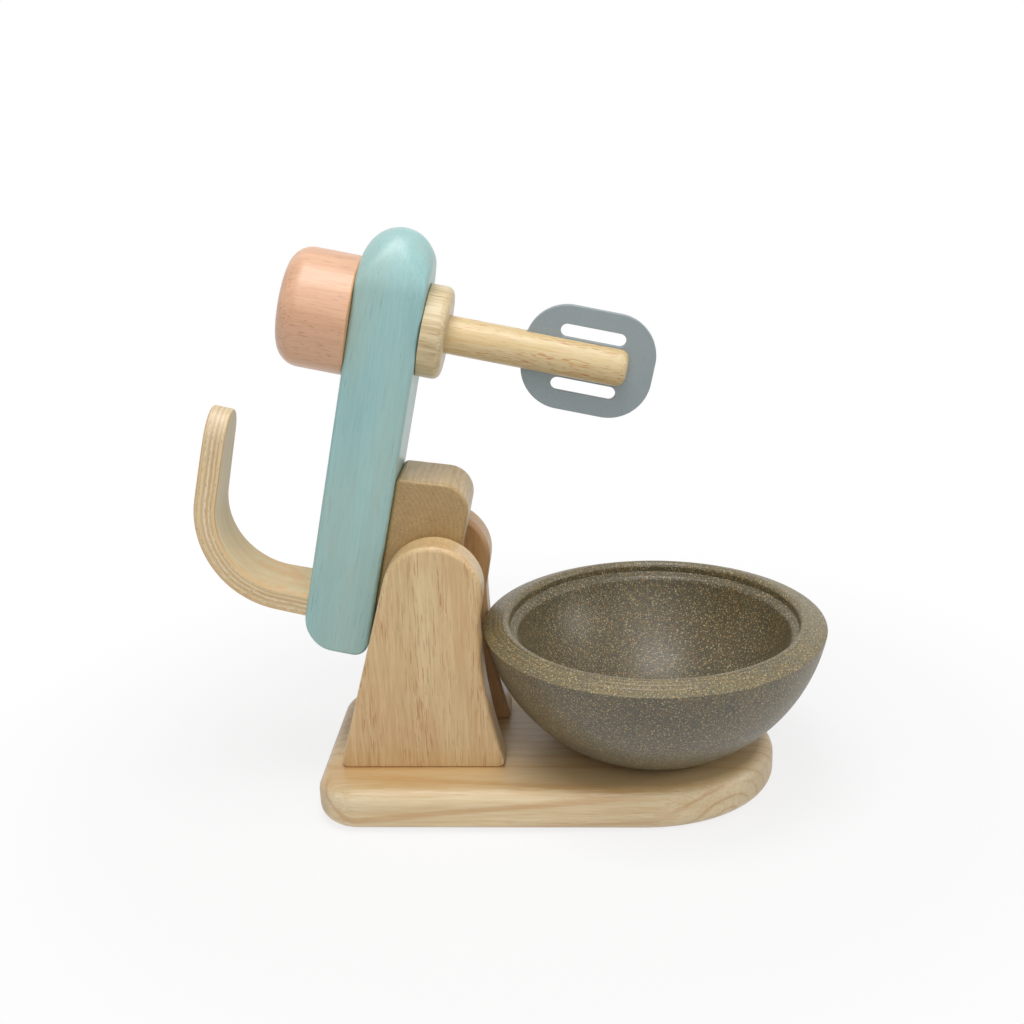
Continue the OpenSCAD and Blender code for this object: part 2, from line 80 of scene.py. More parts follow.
# Uprights and hinge. Above the foot their edges' rounding grows over a short height
UPRIGHT_TH, UPRIGHT_GAP = 15.2, 30.7
UPRIGHT_TOP_R = 21.3
UPRIGHT_ROUND, UPRIGHT_FOOT_ROUND = 2.3, 1.0
ROUND_GROWS_FROM, ROUND_GROWS_OVER = 3.0, 12.0
FOOT_LEFT, FOOT_RIGHT = -90.65, -18.3
FOOT_CORNER_R = 2.5
PIVOT_X, PIVOT_Z = -47.0, 101.0
WAIST_X = PIVOT_X + 19
FLARE_H = 66.4
FOOT_SCREW_X = (FOOT_LEFT + FOOT_RIGHT) / 2
TIP_ANGLE = 77.63

# Hinge block and head, about the hinge axis. The dome's sections are round all over from a share
# of its length on, and the slack keeps a narrow flat between a section's corners
BLOCK_FRONT, BLOCK_BACK, BLOCK_DROP, BLOCK_LEAN = 42.4, 16.6, 8.5, 1.5
BLOCK_CORNER_R, BLOCK_TOP_R, BLOCK_ROUND, BLOCK_W = 11.5, 2.5, 1.5, 30.1
HEAD_LOW, HEAD_TH, HEAD_W = 23.9, 29.0, 37.0
HEAD_TOP = HEAD_LOW + HEAD_TH
HEAD_FRONT, HEAD_BACK = 143.76, 40.6
NOSE_DOME, NOSE_DROP = 25.0, 0.85
NOSE_ROUND_BY = 0.9
NOSE_LAST_ANGLE = 89.5
TAIL_TOP_R, TAIL_LOW_R, HEAD_ROUND = 14.5, 6.5, 1.8
SECTION_SLACK = 0.03

# Handle
HANDLE_TH, HANDLE_W, HANDLE_BEND_R = 9.5, 32.6, 32.1
HANDLE_DX, HANDLE_RISE, HANDLE_GRIP, HANDLE_DROOP_R = 22.3, 13.7, 39.6, 1500.0
HANDLE_TAPER_X, HANDLE_TAPER_Z = 0.056, 0.053
HANDLE_TIP, HANDLE_TIP_LEAD, HANDLE_TIP_R, HANDLE_ROUND = 13.0, 4.0, 1.2, 0.9
MORTISE_DEPTH = 14.0
HANDLE_SCREW_Y = HANDLE_W / 4

# Beater
BEATER_DX = 103.9
SHAFT_D, SHAFT_DROP, SHAFT_END_ROUND, SHAFT_TOP_ROUND = 16.0, 86.0, 4.0, 0.8
KNOB_D, KNOB_H, KNOB_LOW_ROUND, KNOB_ROUND, KNOB_SEAT = 50.0, 29.6, 1.0, 9.5, 18.0
COLLAR_D, COLLAR_H, COLLAR_ROUND, COLLAR_TOP_ROUND = 38.8, 10.1, 3.5, 0.3
COLLAR_WASHER_TH, COLLAR_WASHER_LIP, COLLAR_WASHER_ROUND = 0.1, -0.6, 0.03
PADDLE_W, PADDLE_H, PADDLE_TH, PADDLE_R, PADDLE_PAST = 44.3, 55.0, 2.6, 17.8, 11.1
SLOT_W, SLOT_LEN, SLOT_DX = 5.5, 27.5, 11.4
PADDLE_EASE = 0.4

# Room round a turning and round a glued fit, plug holes, and how far a cutter passes a face
PASS_ROOM, GLUE_ROOM = 0.3, 0.05
PLUG_D, PLUG_TH = 9.0, 3.5
CUT_PAST = 1.0

# Bowl: the ball outside, the rim's ringed face, the mouth, the ledge and the ball inside. A _SHORT
# keeps the end of one stretch of the profile off the start of the next
RIM_R, RIM_H, RIM_RISE, RIM_W, BOWL_FOOT_R = 75.3, 55.5, 3.4, 11.8, 33.0
RIM_EASE, RIM_FACE_SHORT, RIM_EDGE_SHORT_DEG, BOWL_FOOT_EASE = 0.12, 0.1, 0.15, 0.6
RING_PLACES = (4.1, 6.4, 8.5)
RING_HALF_W, RING_HALF_FLAT, RING_DEPTH = 0.55, 0.15, 0.16
MOUTH_ROUND, MOUTH_DEPTH, MOUTH_LOW_R, MOUTH_LOW_RISE = 2.5, 4.7, 0.9, 0.6
LEDGE_W, LEDGE_DROP, LEDGE_ROUND = 3.5, 1.6, 3.0
BOWL_FLOOR, BOWL_GAP = 4.6, 1.1
BOWL_X = WAIST_X + BOWL_GAP + math.sqrt(RIM_R ** 2 - UPRIGHT_GAP ** 2 / 4)
BALL_Z = (RIM_R ** 2 + RIM_H ** 2 - BOWL_FOOT_R ** 2) / (2 * RIM_H)
BALL_R = math.hypot(BOWL_FOOT_R, BALL_Z)

TIPPED = (Matrix.Translation(Vector((PIVOT_X, 0, PIVOT_Z)) * MM)
          @ Matrix.Rotation(-math.radians(TIP_ANGLE), 4, "Y"))
ON_BEATER = TIPPED @ Matrix.Translation((BEATER_DX * MM, 0, 0))
IN_BOWL = Matrix.Translation(Vector((BOWL_X, 0, BASE_TH)) * MM)
STANDING = Matrix.Rotation(math.pi / 2, 4, "X")


# Shapes: a shape is a pair of vertices, in millimetres, and faces

def arc(centre, radius, start, end, count):
    """Points along an arc from one angle, in degrees, to another."""
    angles = np.radians(np.linspace(start, end, count + 1))
    return [(centre[0] + radius * math.cos(a), centre[1] + radius * math.sin(a)) for a in angles]


def smooth(share):
    """Eases a number or an array from 0 to 1, and holds it outside of that."""
    share = np.clip(share, 0, 1)
    return share * share * (3 - 2 * share)


def tangent_angle(c1, r1, c2, r2, side):
    """Angle at which one straight line touches both circles, on the left (-1) or the right (1) of
    the way from c1 to c2."""
    dx, dz = c2[0] - c1[0], c2[1] - c1[1]
    return math.degrees(math.atan2(dz, dx) - side * math.acos((r1 - r2) / math.hypot(dx, dz)))


def hull_of_circles(circles, count=144):
    """Anticlockwise outline of the convex shape that holds these (centre, radius) circles."""
    points = sorted(set((round(x, 6), round(y, 6)) for c, r in circles
                        for x, y in arc(c, r, 0, 360, count)))

    def half(row):
        chain = []
        for p in row:
            while len(chain) > 1 and ((chain[-1][0] - chain[-2][0]) * (p[1] - chain[-2][1])
                                      <= (chain[-1][1] - chain[-2][1]) * (p[0] - chain[-2][0])):
                chain.pop()
            chain.append(p)
        return chain[:-1]

    return half(points) + half(points[::-1])


def outward(outline):
    """Unit normals of a closed anticlockwise outline, at its points."""
    points = np.array(outline, float)
    ahead = np.roll(points, -1, 0) - points
    ahead /= np.linalg.norm(ahead, axis=1)[:, None]
    along = ahead + np.roll(ahead, 1, 0)
    normals = np.stack([along[:, 1], -along[:, 0]], 1)
    return normals / np.linalg.norm(normals, axis=1)[:, None]


def rounded_rims(points, normals, low, high, low_round, high_round, steps):
    """Vertices of a slab's two rounded rims, ring by ring from z = low to z = high. A rounding is
    one radius, or one for each point of the outline."""
    verts = []
    for end, rounding, side in ((low, low_round, -1), (high, high_round, 1)):
        radius = np.broadcast_to(rounding, len(points))
        for a in np.radians(np.linspace(min(0, 90 * side), max(0, 90 * side), steps + 1)):
            inset = points - normals * (radius * (1 - math.cos(a)))[:, None]
            verts += [(x, y, z) for (x, y), z in zip(inset, end + radius * (math.sin(a) - side))]
    return verts


def rings_to_faces(count, size):
    """Faces between `count` neighbouring rings of `size` points each."""
    faces = []
    for k in range(count - 1):
        for i in range(size):
            j = (i + 1) % size
            faces.append((k * size + i, k * size + j, (k + 1) * size + j, (k + 1) * size + i))
    return faces


def capped(verts, size):
    """Solid of rings of `size` points each, with a flat face over each end ring."""
    ends = [tuple(reversed(range(size))), tuple(range(len(verts) - size, len(verts)))]
    return verts, rings_to_faces(len(verts) // size, size) + ends


def slab(outline, low, high, low_round, high_round, steps):
    """Slab on an anticlockwise outline, from z = low to z = high, with rounded rims."""
    points = np.array(outline, float)
    return capped(rounded_rims(points, outward(outline), low, high, low_round, high_round, steps),
                  len(points))


def turned(profile, count=160):
    """Solid of revolution about Z. The profile is (radius, z) points, from the lower to the upper
    end of the axis. One that keeps off the axis makes a ring, closed along its inner side."""
    rings = [p for p in profile if p[0] > 0]
    angles = np.linspace(0, 2 * math.pi, count, endpoint=False)
    verts = [(r * math.cos(a), r * math.sin(a), z) for r, z in rings for a in angles]
    faces = rings_to_faces(len(rings), count)
    last = (len(rings) - 1) * count
    if len(rings) == len(profile):
        faces += [(last + i, last + (i + 1) % count, (i + 1) % count, i) for i in range(count)]
    for end, ring in ((0, 0), (-1, last)):
        if profile[end][0] == 0:
            tip = len(verts)
            verts.append((0, 0, profile[end][1]))
            for i in range(count):
                pair = (ring + i, ring + (i + 1) % count)
                faces.append((tip, *pair) if end else (tip, *reversed(pair)))
    return verts, faces


def rim(radius, z, r, start, end, count):
    """Rounded edge of a turned profile: an arc of radius r inside the corner at (radius, z), which
    is a lower corner if the arc starts below 0 degrees."""
    inward = -1 if start < 0 else 1
    return arc((radius - r, z - inward * r), r, start, end, count)


def cutter(size, at):
    """Box that cuts a hole: its three sizes and its middle."""
    half = Vector(size) / 2
    corners = [(x, y, z) for z in (-1, 1) for y in (-1, 1) for x in (-1, 1)]
    verts = [tuple(at[k] + half[k] * c[k] for k in range(3)) for c in corners]
    return verts, [(0, 2, 3, 1), (4, 5, 7, 6), (0, 1, 5, 4), (2, 6, 7, 3), (0, 4, 6, 2),
                   (1, 3, 7, 5)]


def drill(d, low, high, at):
    """Round cutter along Z, from z = low to z = high."""
    verts, faces = turned([(0, low), (d / 2, low), (d / 2, high), (0, high)], 64)
    return [(x + at[0], y + at[1], z) for x, y, z in verts], faces


def plug_holes(x, reach, low):
    """Cutters for a pair of plugs at y = -reach and y = reach, up into the face at z = low."""
    return [drill(PLUG_D + 2 * GLUE_ROOM, low - CUT_PAST, low + PLUG_TH + GLUE_ROOM,
                  (x, side * reach)) for side in (-1, 1)]


def mesh_of(name, shape, matrix=None):
    """Mesh of a shape, in metres and turned by the matrix."""
    verts, faces = shape
    mesh = bpy.data.meshes.new(name)
    mesh.from_pydata([Vector(v) * MM for v in verts], [], faces)
    if matrix is not None:
        mesh.transform(matrix)
    mesh.validate()
    return mesh


def evaluated_mesh(obj):
    """Mesh of an object as its modifiers or its curve settings leave it."""
    bpy.context.view_layer.update()
    return bpy.data.meshes.new_from_object(
        obj.evaluated_get(bpy.context.evaluated_depsgraph_get()))


def add_object(name, data):
    """Object in the scene for this mesh, curve, lamp or camera."""
    obj = bpy.data.objects.new(name, data)
    bpy.context.scene.collection.objects.link(obj)
    return obj


def cut_away(obj, shapes):
    """Takes the cutters' shapes out of obj's mesh."""
    for shape in shapes:
        tool = add_object("tool", mesh_of("tool", shape))
        step = obj.modifiers.new("cut", "BOOLEAN")
        step.operation, step.solver, step.object = "DIFFERENCE", "EXACT", tool
        result = evaluated_mesh(obj)
        obj.modifiers.clear()
        obj.data = result
        bpy.data.objects.remove(tool)


# Materials

def rgb(red, green, blue):
    """Blender's colour for an 8-bit screen colour."""
    linear = [c / 12.92 if c <= 0.04045 else ((c + 0.055) / 1.055) ** 2.4
              for c in (red / 255, green / 255, blue / 255)]
    return (*linear, 1)


class Tree:
    """The nodes of a material or of the world. An input is a number, a colour, a vector or another
    node's socket."""

    def __init__(self, owner):
        owner.use_nodes = True
        self.owner, self.nodes, self.links = owner, owner.node_tree.nodes, owner.node_tree.links
        self.nodes.clear()

    def node(self, kind, inputs=None, **settings):
        node = self.nodes.new("ShaderNode" + kind)
        for key, value in settings.items():
            setattr(node, key, value)
        for key, value in (inputs or {}).items():
            if isinstance(value, bpy.types.NodeSocket):
                self.links.new(value, node.inputs[key])
            else:
                node.inputs[key].default_value = value
        return node

    def place(self):
        """The place on the object, in its own metres."""
        return self.node("TexCoord").outputs["Object"]

    def scaled(self, place, scale=(1, 1, 1), offset=(0, 0, 0), turn=(0, 0, 0)):
        """The place scaled, turned and then moved, to draw a pattern out or to shift it."""
        return self.node("Mapping", {"Vector": place, "Location": offset, "Rotation": turn,
                                     "Scale": scale}).outputs["Vector"]

    def part(self, vector, axis):
        return self.node("SeparateXYZ", {0: vector}).outputs[axis]

    def length(self, vector):
        return self.node("VectorMath", {0: vector}, operation="LENGTH").outputs["Value"]

    def noise(self, place, scale, detail=2.0, rough=0.5, warp=0.0):
        """Cloudy noise, with about `scale` clouds to the metre."""
        return self.node("TexNoise", {"Vector": place, "Scale": scale, "Detail": detail,
                                      "Roughness": rough, "Distortion": warp}).outputs["Fac"]

    def step(self, value, low, high, least=0.0, most=1.0):
        """Smooth step from least to most as value goes from low to high."""
        return self.node("MapRange", {"Value": value, "From Min": low, "From Max": high,
                                      "To Min": least, "To Max": most},
                         interpolation_type="SMOOTHSTEP").outputs["Result"]

    def cells(self, place, scale, chance, size):
        """Scattered specks: the share of cells that hold one, and its size within its cell."""
        cells = self.node("TexVoronoi", {"Vector": place, "Scale": scale})
        pick = self.part(cells.outputs["Color"], "X")
        return self.times(self.step(cells.outputs["Distance"], size * 0.5, size, 1.0, 0.0),
                          self.step(pick, 1 - chance, 1.02 - chance))

    def math(self, kind, a, b=0.0):
        return self.node("Math", {0: a, 1: b}, operation=kind).outputs[0]

    def times(self, first, *rest):
        return self.math("MULTIPLY", first, self.times(*rest)) if rest else first

    def plus(self, first, *rest):
        return self.math("ADD", first, self.plus(*rest)) if rest else first

    def mix(self, share, a, b, blend="MIX"):
        """Colour a where the share is 0, and b where it is 1."""
        return self.node("Mix", {0: share, 6: a, 7: b}, data_type="RGBA",
                         blend_type=blend).outputs[2]

    def finish(self, colour, rough, height, bump, **more):
        """Makes the surface. The bump is for relief that is finer than the mesh."""
        normal = self.node("Bump", {"Height": height, "Strength": bump, "Distance": 0.1 * MM})
        inputs = {"Base Color": colour, "Roughness": rough, "Normal": normal.outputs["Normal"]}
        inputs.update({key.replace("_", " "): value for key, value in more.items()})
        shader = self.node("BsdfPrincipled", inputs)
        self.node("OutputMaterial", {"Surface": shader.outputs["BSDF"]})
        return self.owner


def along_grain(grain, short):
    """Scale that shortens the grain's axis, so that a pattern is drawn out along it."""
    return tuple(short if k == grain else 1 for k in range(3))


def wood(name, grain, light, dark, pore, warm=None, line=None, faces=(), tint=None,
         ring_gap=5.0, ring_at=(0, 0, 0), ring_turn=(0, 0, 0), ring_share=0.2, ring_warp=2.2,
         ring_long=0.12, streak_share=0.45, warm_share=0.5, pore_share=0.7, pore_rare=0.60,
         pore_scale=1900, pore_long=0.055, fleck_share=0.35, rough=0.42, coat=0.25, seed=0.0):
    """Wood under a thin clear finish: growth rings, slow streaks, fine fibres, short open pores and
    pale flecks among them.

    grain is the axis that the fibres follow. The colour runs from light to dark, with patches of
    warm, with late wood in each ring drawn in the colour of line, and with faces, each an (axis,
    colour, share), on the sides that look along an axis. ring_gap and ring_at are millimetres. A
    _share is how much of its colour a pattern adds, and a _long its scale along the grain."""
    t = Tree(bpy.data.materials.new(name))
    place = t.scaled(t.place(), offset=(seed, seed * 0.7, seed * 1.3))

    # Three sizes of fibre, drawn out along the grain, and the rings about the pith
    drawn = t.scaled(place, along_grain(grain, 0.05))
    streaks = t.step(t.noise(drawn, 110, 3, 0.6, 0.3), 0.34, 0.68)
    lines = t.step(t.noise(drawn, 520, 3, 0.65, 0.2), 0.36, 0.70)
    fibres = t.step(t.noise(drawn, 1500, 2, 0.6), 0.3, 0.75)
    across = t.scaled(t.place(), offset=tuple(-c * MM for c in ring_at), turn=ring_turn)
    rings = t.node("TexWave", {"Vector": t.scaled(across, along_grain(grain, ring_long)),
                               "Scale": 0.314 / (ring_gap * MM), "Distortion": ring_warp,
                               "Detail": 3.0, "Detail Scale": 0.4, "Detail Roughness": 0.55},
                   wave_type="RINGS", rings_direction="XYZ"[grain]).outputs["Fac"]
    tone = t.plus(t.times(streaks, streak_share * 0.5), t.times(rings, ring_share),
                  t.times(lines, streak_share * 0.5), t.times(fibres, 0.3))

    # Pores and flecks come in crowds
    crowd = t.step(t.noise(drawn, 170, 2, 0.5), 0.38, 0.62, 0.2, 1.0)
    dashes = t.scaled(place, along_grain(grain, pore_long))
    pores = t.times(t.step(t.noise(dashes, pore_scale, 1, 0.4), pore_rare, pore_rare + 0.07), crowd)
    flecks = t.step(t.noise(t.scaled(dashes, offset=(0.3, 0.2, 0.4)), pore_scale * 0.6, 1, 0.4),
                    0.60, 0.68)

    colour = t.mix(tone, light, dark)
    if warm:
        patch = t.step(t.noise(t.scaled(place, along_grain(grain, 0.25)), 32, 2, 0.5), 0.40, 0.62)
        colour = t.mix(t.times(patch, warm_share, t.step(lines, 0.0, 1.0, 0.45, 1.0)), colour, warm)
    if line:
        late = t.times(t.step(rings, 0.80, 1.0), t.step(streaks, 0.0, 0.6, 0.3, 1.0))
        colour = t.mix(t.times(late, 0.4), colour, line)
    for axis, shade, share in faces:
        facing = t.math("ABSOLUTE", t.part(t.node("TexCoord").outputs["Normal"], axis))
        colour = t.mix(t.step(facing, 0.5, 0.95, 0.0, share), colour, shade)
    if tint:
        colour = tint(t, colour)
    colour = t.mix(t.times(flecks, crowd, fleck_share), colour, light)
    colour = t.mix(t.times(pores, pore_share), colour, pore)
    return t.finish(colour, t.step(fibres, 0, 1, rough - 0.04, rough + 0.06),
                    t.math("SUBTRACT", t.times(fibres, 0.25), pores), 0.25,
                    Coat_Weight=coat, Coat_Roughness=0.28)


def knob_edge_highlight(t, colour):
    """Light orange band along the knob's rounded lower edge: a painted highlight, where the
    rounding catches the light.
    """
    low = (HEAD_TOP + GLUE_ROOM) * MM
    thin = t.step(t.part(t.place(), "Z"), low + 0.3 * MM, low + 0.9 * MM, 0.55, 0.0)
    return t.mix(thin, colour, rgb(240, 182, 122))


UPRIGHT_WOOD = dict(grain=2, pore=rgb(170, 104, 62), ring_gap=9, ring_at=(-30, -90, 0),
                    ring_share=0.14, pore_share=0.62, pore_rare=0.59, pore_scale=2300)
WOODS = {
    "board_wood": dict(
        grain=0, light=rgb(236, 220, 184), dark=rgb(202, 174, 126), pore=rgb(176, 130, 80),
        warm=rgb(212, 172, 116), line=rgb(190, 132, 74),
        # The darker ends are the board's end grain; the top face's darker, warmer colour is painted
        # shade
        faces=((0, rgb(172, 138, 88), 0.5), (2, rgb(190, 148, 84), 0.5)),
        ring_gap=5.5, ring_at=(-30, -38, 2), ring_turn=(0, 0.015, 0.045), ring_share=0.14,
        ring_warp=2.4, ring_long=0.05, streak_share=0.35, pore_share=0.35, pore_rare=0.63,
        seed=0.11),
    "upright_front_wood": dict(
        light=rgb(228, 203, 156), dark=rgb(192, 158, 108), warm=rgb(204, 158, 106), seed=0.37,
        **UPRIGHT_WOOD),
    # The rear upright's darker, warmer colours are painted shade: it is the same wood as the front
    # one, standing in its shade
    "upright_rear_wood": dict(
        light=rgb(206, 166, 116), dark=rgb(174, 134, 86), warm=rgb(184, 134, 84), seed=0.61,
        **UPRIGHT_WOOD),
    "block_wood": dict(
        grain=1, light=rgb(204, 176, 120), dark=rgb(162, 130, 84), pore=rgb(104, 76, 50),
        faces=((1, rgb(136, 104, 62), 0.38),), ring_gap=1.9, ring_at=(18, 0, 33),
        ring_share=0.24, ring_warp=2.6, pore_share=0.5, pore_long=0.1),
    "dowel_wood": dict(
        grain=2, light=rgb(226, 208, 168), dark=rgb(202, 172, 110), pore=rgb(190, 118, 54),
        warm=rgb(222, 176, 112), ring_at=(6, 30, 0), pore_share=0.75, pore_rare=0.575,
        pore_scale=2200, pore_long=0.09, seed=0.53),
    "collar_wood": dict(
        grain=2, light=rgb(230, 212, 172), dark=rgb(168, 138, 86), pore=rgb(104, 76, 50),
        ring_gap=1.3, ring_at=(10, 40, 0), ring_share=0.14, ring_warp=1.5, pore_share=0.4,
        pore_long=0.06, seed=0.83),
    "head_paint": dict(
        grain=0, light=rgb(160, 200, 197), dark=rgb(134, 178, 178), pore=rgb(98, 136, 142),
        warm=rgb(180, 188, 170), ring_gap=12, ring_at=(0, 60, -20), ring_share=0.15,
        warm_share=0.45, pore_share=0.4, pore_rare=0.66, fleck_share=0.2, coat=0.38, seed=0.29),
    "knob_paint": dict(
        grain=2, light=rgb(230, 184, 150), dark=rgb(204, 152, 116), pore=rgb(158, 92, 62),
        # The knob's lower edge gets a painted highlight, a light orange band
        tint=knob_edge_highlight, ring_gap=8, ring_at=(0, 50, 0), pore_share=0.55, pore_rare=0.61,
        pore_long=0.12, fleck_share=0.1, rough=0.40, coat=0.32, seed=0.97),
}

# Bent plywood through its thickness, from the inner face to the outer one
PLIES = ((0.00, rgb(226, 206, 162)), (0.025, rgb(206, 156, 98)), (0.06, rgb(228, 206, 164)),
         (0.17, rgb(226, 204, 162)), (0.20, rgb(212, 182, 136)), (0.25, rgb(216, 188, 144)),
         (0.28, rgb(232, 214, 178)), (0.33, rgb(228, 208, 168)), (0.36, rgb(210, 180, 136)),
         (0.46, rgb(214, 186, 144)), (0.49, rgb(236, 220, 188)), (0.55, rgb(232, 214, 180)),
         (0.58, rgb(212, 184, 142)), (0.67, rgb(216, 190, 148)), (0.70, rgb(230, 212, 174)),
         (0.80, rgb(228, 206, 166)), (0.84, rgb(214, 184, 138)), (0.90, rgb(224, 202, 160)),
         (0.965, rgb(210, 164, 106)), (1.00, rgb(232, 212, 174)))

# The bowl's fibres, layer by layer: turn, cells to the metre, share of cells and colour
BOWL_FLECKS = (((0.3, 0.6, 1.1), 1900, 0.16, rgb(222, 204, 150)),
               ((1.2, 0.2, 0.4), 2100, 0.16, rgb(214, 204, 168)),
               ((0.7, 1.3, 2.2), 1800, 0.20, rgb(190, 152, 84)),
               ((2.0, 0.5, 1.6), 1500, 0.14, rgb(168, 118, 56)),
               ((0.1, 2.1, 0.9), 1500, 0.30, rgb(40, 37, 28)))


def plywood(name):
    """Bent plywood. The mesh carries the place on the flat sheet: along, across and through it."""
    t = Tree(bpy.data.materials.new(name))
    flat = t.node("Attribute", attribute_name="flat").outputs["Vector"]
    drawn = t.scaled(flat, (0.05, 1, 1))

    # The plies show on the edge, where they wander a little
    depth = t.math("DIVIDE", t.part(flat, "Z"), HANDLE_TH * MM)
    edge = t.step(t.math("ABSOLUTE", depth), 0.40, 0.47, 1.0, 0.0)
    wander = t.times(t.math("SUBTRACT", t.noise(t.scaled(flat, (1, 1, 0)), 70, 3), 0.5), 0.10)
    ramp = t.node("ValToRGB", {0: t.plus(depth, 0.5, t.times(wander, edge))})
    stops = ramp.color_ramp.elements
    for stop, (at, shade) in zip(stops, (PLIES[0], PLIES[-1])):
        stop.position, stop.color = at, shade
    for at, shade in PLIES[1:-1]:
        stops.new(at).color = shade

    # Streaks and fibres all over
    plies = ramp.outputs["Color"]
    streaks = t.step(t.noise(drawn, 260, 3, 0.6, 0.3), 0.35, 0.7)
    fibres = t.step(t.noise(drawn, 1400, 3, 0.6), 0.3, 0.75)
    colour = t.mix(t.plus(t.times(streaks, 0.35), t.times(fibres, 0.3)), plies,
                   t.mix(1.0, plies, rgb(232, 216, 190), "MULTIPLY"))

    # Dark and pale dashes of end grain on the plies that lie across
    dashes = t.noise(t.scaled(flat, (0.22, 1, 1)), 2300, 2, 0.5)
    across = t.times(edge, t.step(t.noise(t.scaled(flat, (0.02, 0.02, 1)), 900, 1), 0.42, 0.58))
    colour = t.mix(t.times(t.step(dashes, 0.56, 0.68), across, 0.5), colour, rgb(150, 112, 74))
    colour = t.mix(t.times(t.step(dashes, 0.44, 0.34), across, 0.55), colour, rgb(238, 226, 200))

    # Flame on the faces near the head, and a painted highlight that pales the upturned tip, by the
    # metres along the sheet
    along = t.part(flat, "X")
    flame = t.step(t.noise(t.scaled(flat, (0.6, 1, 1)), 95, 3, 0.55, 1.2), 0.40, 0.62)
    low_face = t.times(t.step(along, 0.035, 0.070, 0.7, 0.0), t.math("SUBTRACT", 1.0, edge))
    colour = t.mix(t.times(flame, low_face), colour, rgb(222, 178, 122))
    colour = t.mix(t.step(along, 0.100, 0.125, 0.0, 0.2), colour, rgb(240, 230, 208))
    return t.finish(colour, t.step(fibres, 0, 1, 0.42, 0.52),
                    t.plus(t.times(fibres, 0.3), t.times(dashes, across)), 0.2,
                    Coat_Weight=0.15, Coat_Roughness=0.3)


def composite(name):
    """Pressed wood composite: a dark body crowded with fine gold, cream and dark fibres. It is
    paler on the cut face of the rim, partly its own cut surface and partly painted light where the
    face catches the top light, and browner inside."""
    t = Tree(bpy.data.materials.new(name))
    place = t.place()

    # Where the rim's face and the inside are
    x, y, height = (t.part(place, axis) for axis in "XYZ")
    radius = t.length(t.node("CombineXYZ", {0: x, 1: y, 2: 0.0}).outputs[0])
    mouth_r = RIM_R - RIM_W
    on_rim = t.times(t.step(height, (RIM_H - 0.6) * MM, (RIM_H - 0.1) * MM),
                     t.step(radius, (mouth_r - 0.4) * MM, (mouth_r + 0.6) * MM))
    from_ball = t.length(t.scaled(place, offset=(0, 0, -BALL_Z * MM)))
    inside = t.step(from_ball, (BALL_R - 4.0) * MM, (BALL_R - 3.0) * MM, 1.0, 0.0)

    # The body under a fine and a coarse grain
    fine = t.noise(place, 2600, 2, 0.6)
    coarse = t.noise(t.scaled(place, turn=(0.5, 0.9, 0.2)), 1300, 2, 0.6)
    clouds = t.step(t.noise(place, 60, 3, 0.6), 0.35, 0.65)
    colour = t.mix(clouds, rgb(82, 80, 70), rgb(94, 89, 72))
    colour = t.mix(inside, colour, t.mix(clouds, rgb(74, 69, 50), rgb(84, 77, 54)))
    # The rim's paler face: partly its cut surface, partly painted light from the top lamp
    colour = t.mix(on_rim, colour, t.mix(clouds, rgb(104, 98, 76), rgb(118, 108, 76)))
    colour = t.mix(t.step(fine, 0.48, 0.36, 0.0, 0.55), colour, rgb(44, 40, 28))
    colour = t.mix(t.step(fine, 0.52, 0.66, 0.0, 0.65), colour, rgb(152, 136, 94))
    colour = t.mix(t.step(coarse, 0.58, 0.68, 0.0, 0.55), colour, rgb(160, 128, 76))
    colour = t.mix(t.step(coarse, 0.42, 0.32, 0.0, 0.4), colour, rgb(50, 45, 33))

    crowd = t.plus(t.times(t.math("MAXIMUM", on_rim, inside), 0.3), 0.6)
    for turn, scale, chance, shade in BOWL_FLECKS:
        drawn = t.scaled(t.scaled(place, turn=turn), (0.34, 1, 1))
        colour = t.mix(t.times(t.cells(drawn, scale, chance, 0.44), crowd), colour, shade)
    return t.finish(colour, t.step(fine, 0.3, 0.7, 0.36, 0.46), fine, 0.10,
                    Specular_IOR_Level=0.6)


def speckled(name, colour, other, rough):
    """Plain matt or satin surface with a fine mottle."""
    t = Tree(bpy.data.materials.new(name))
    place = t.place()
    mottle = t.step(t.noise(place, 900, 3, 0.6), 0.35, 0.65)
    cloud = t.step(t.noise(place, 40, 2, 0.5), 0.35, 0.65)
    tone = t.plus(t.times(mottle, 0.5), t.times(cloud, 0.5))
    return t.finish(t.mix(tone, colour, other), t.step(mottle, 0, 1, rough, rough + 0.08), mottle,
                    0.06)


def steel(name):
    """Bright turned steel with fine lines round it."""
    t = Tree(bpy.data.materials.new(name))
    lines = t.noise(t.scaled(t.place(), (1, 0.05, 1)), 2500, 2)
    return t.finish(t.mix(lines, rgb(168, 170, 172), rgb(198, 200, 202)),
                    t.step(lines, 0.3, 0.7, 0.25, 0.4), lines, 0.05, Metallic=1.0)


materials = {name: wood(name, **look) for name, look in WOODS.items()}
materials.update({
    "bent_plywood": plywood("bent_plywood"),
    "bowl_composite": composite("bowl_composite"),
    "paddle_plastic": speckled("paddle_plastic", rgb(148, 158, 160), rgb(140, 151, 153), 0.42),
    "washer_fibre": speckled("washer_fibre", rgb(26, 26, 26), rgb(18, 18, 18), 0.8),
    "screw_steel": steel("screw_steel"),
    "pin_steel": steel("pin_steel"),
})


# Pieces

slots = {part["node"]: part["material_slot"] for part in frame["record"]["subparts"]}


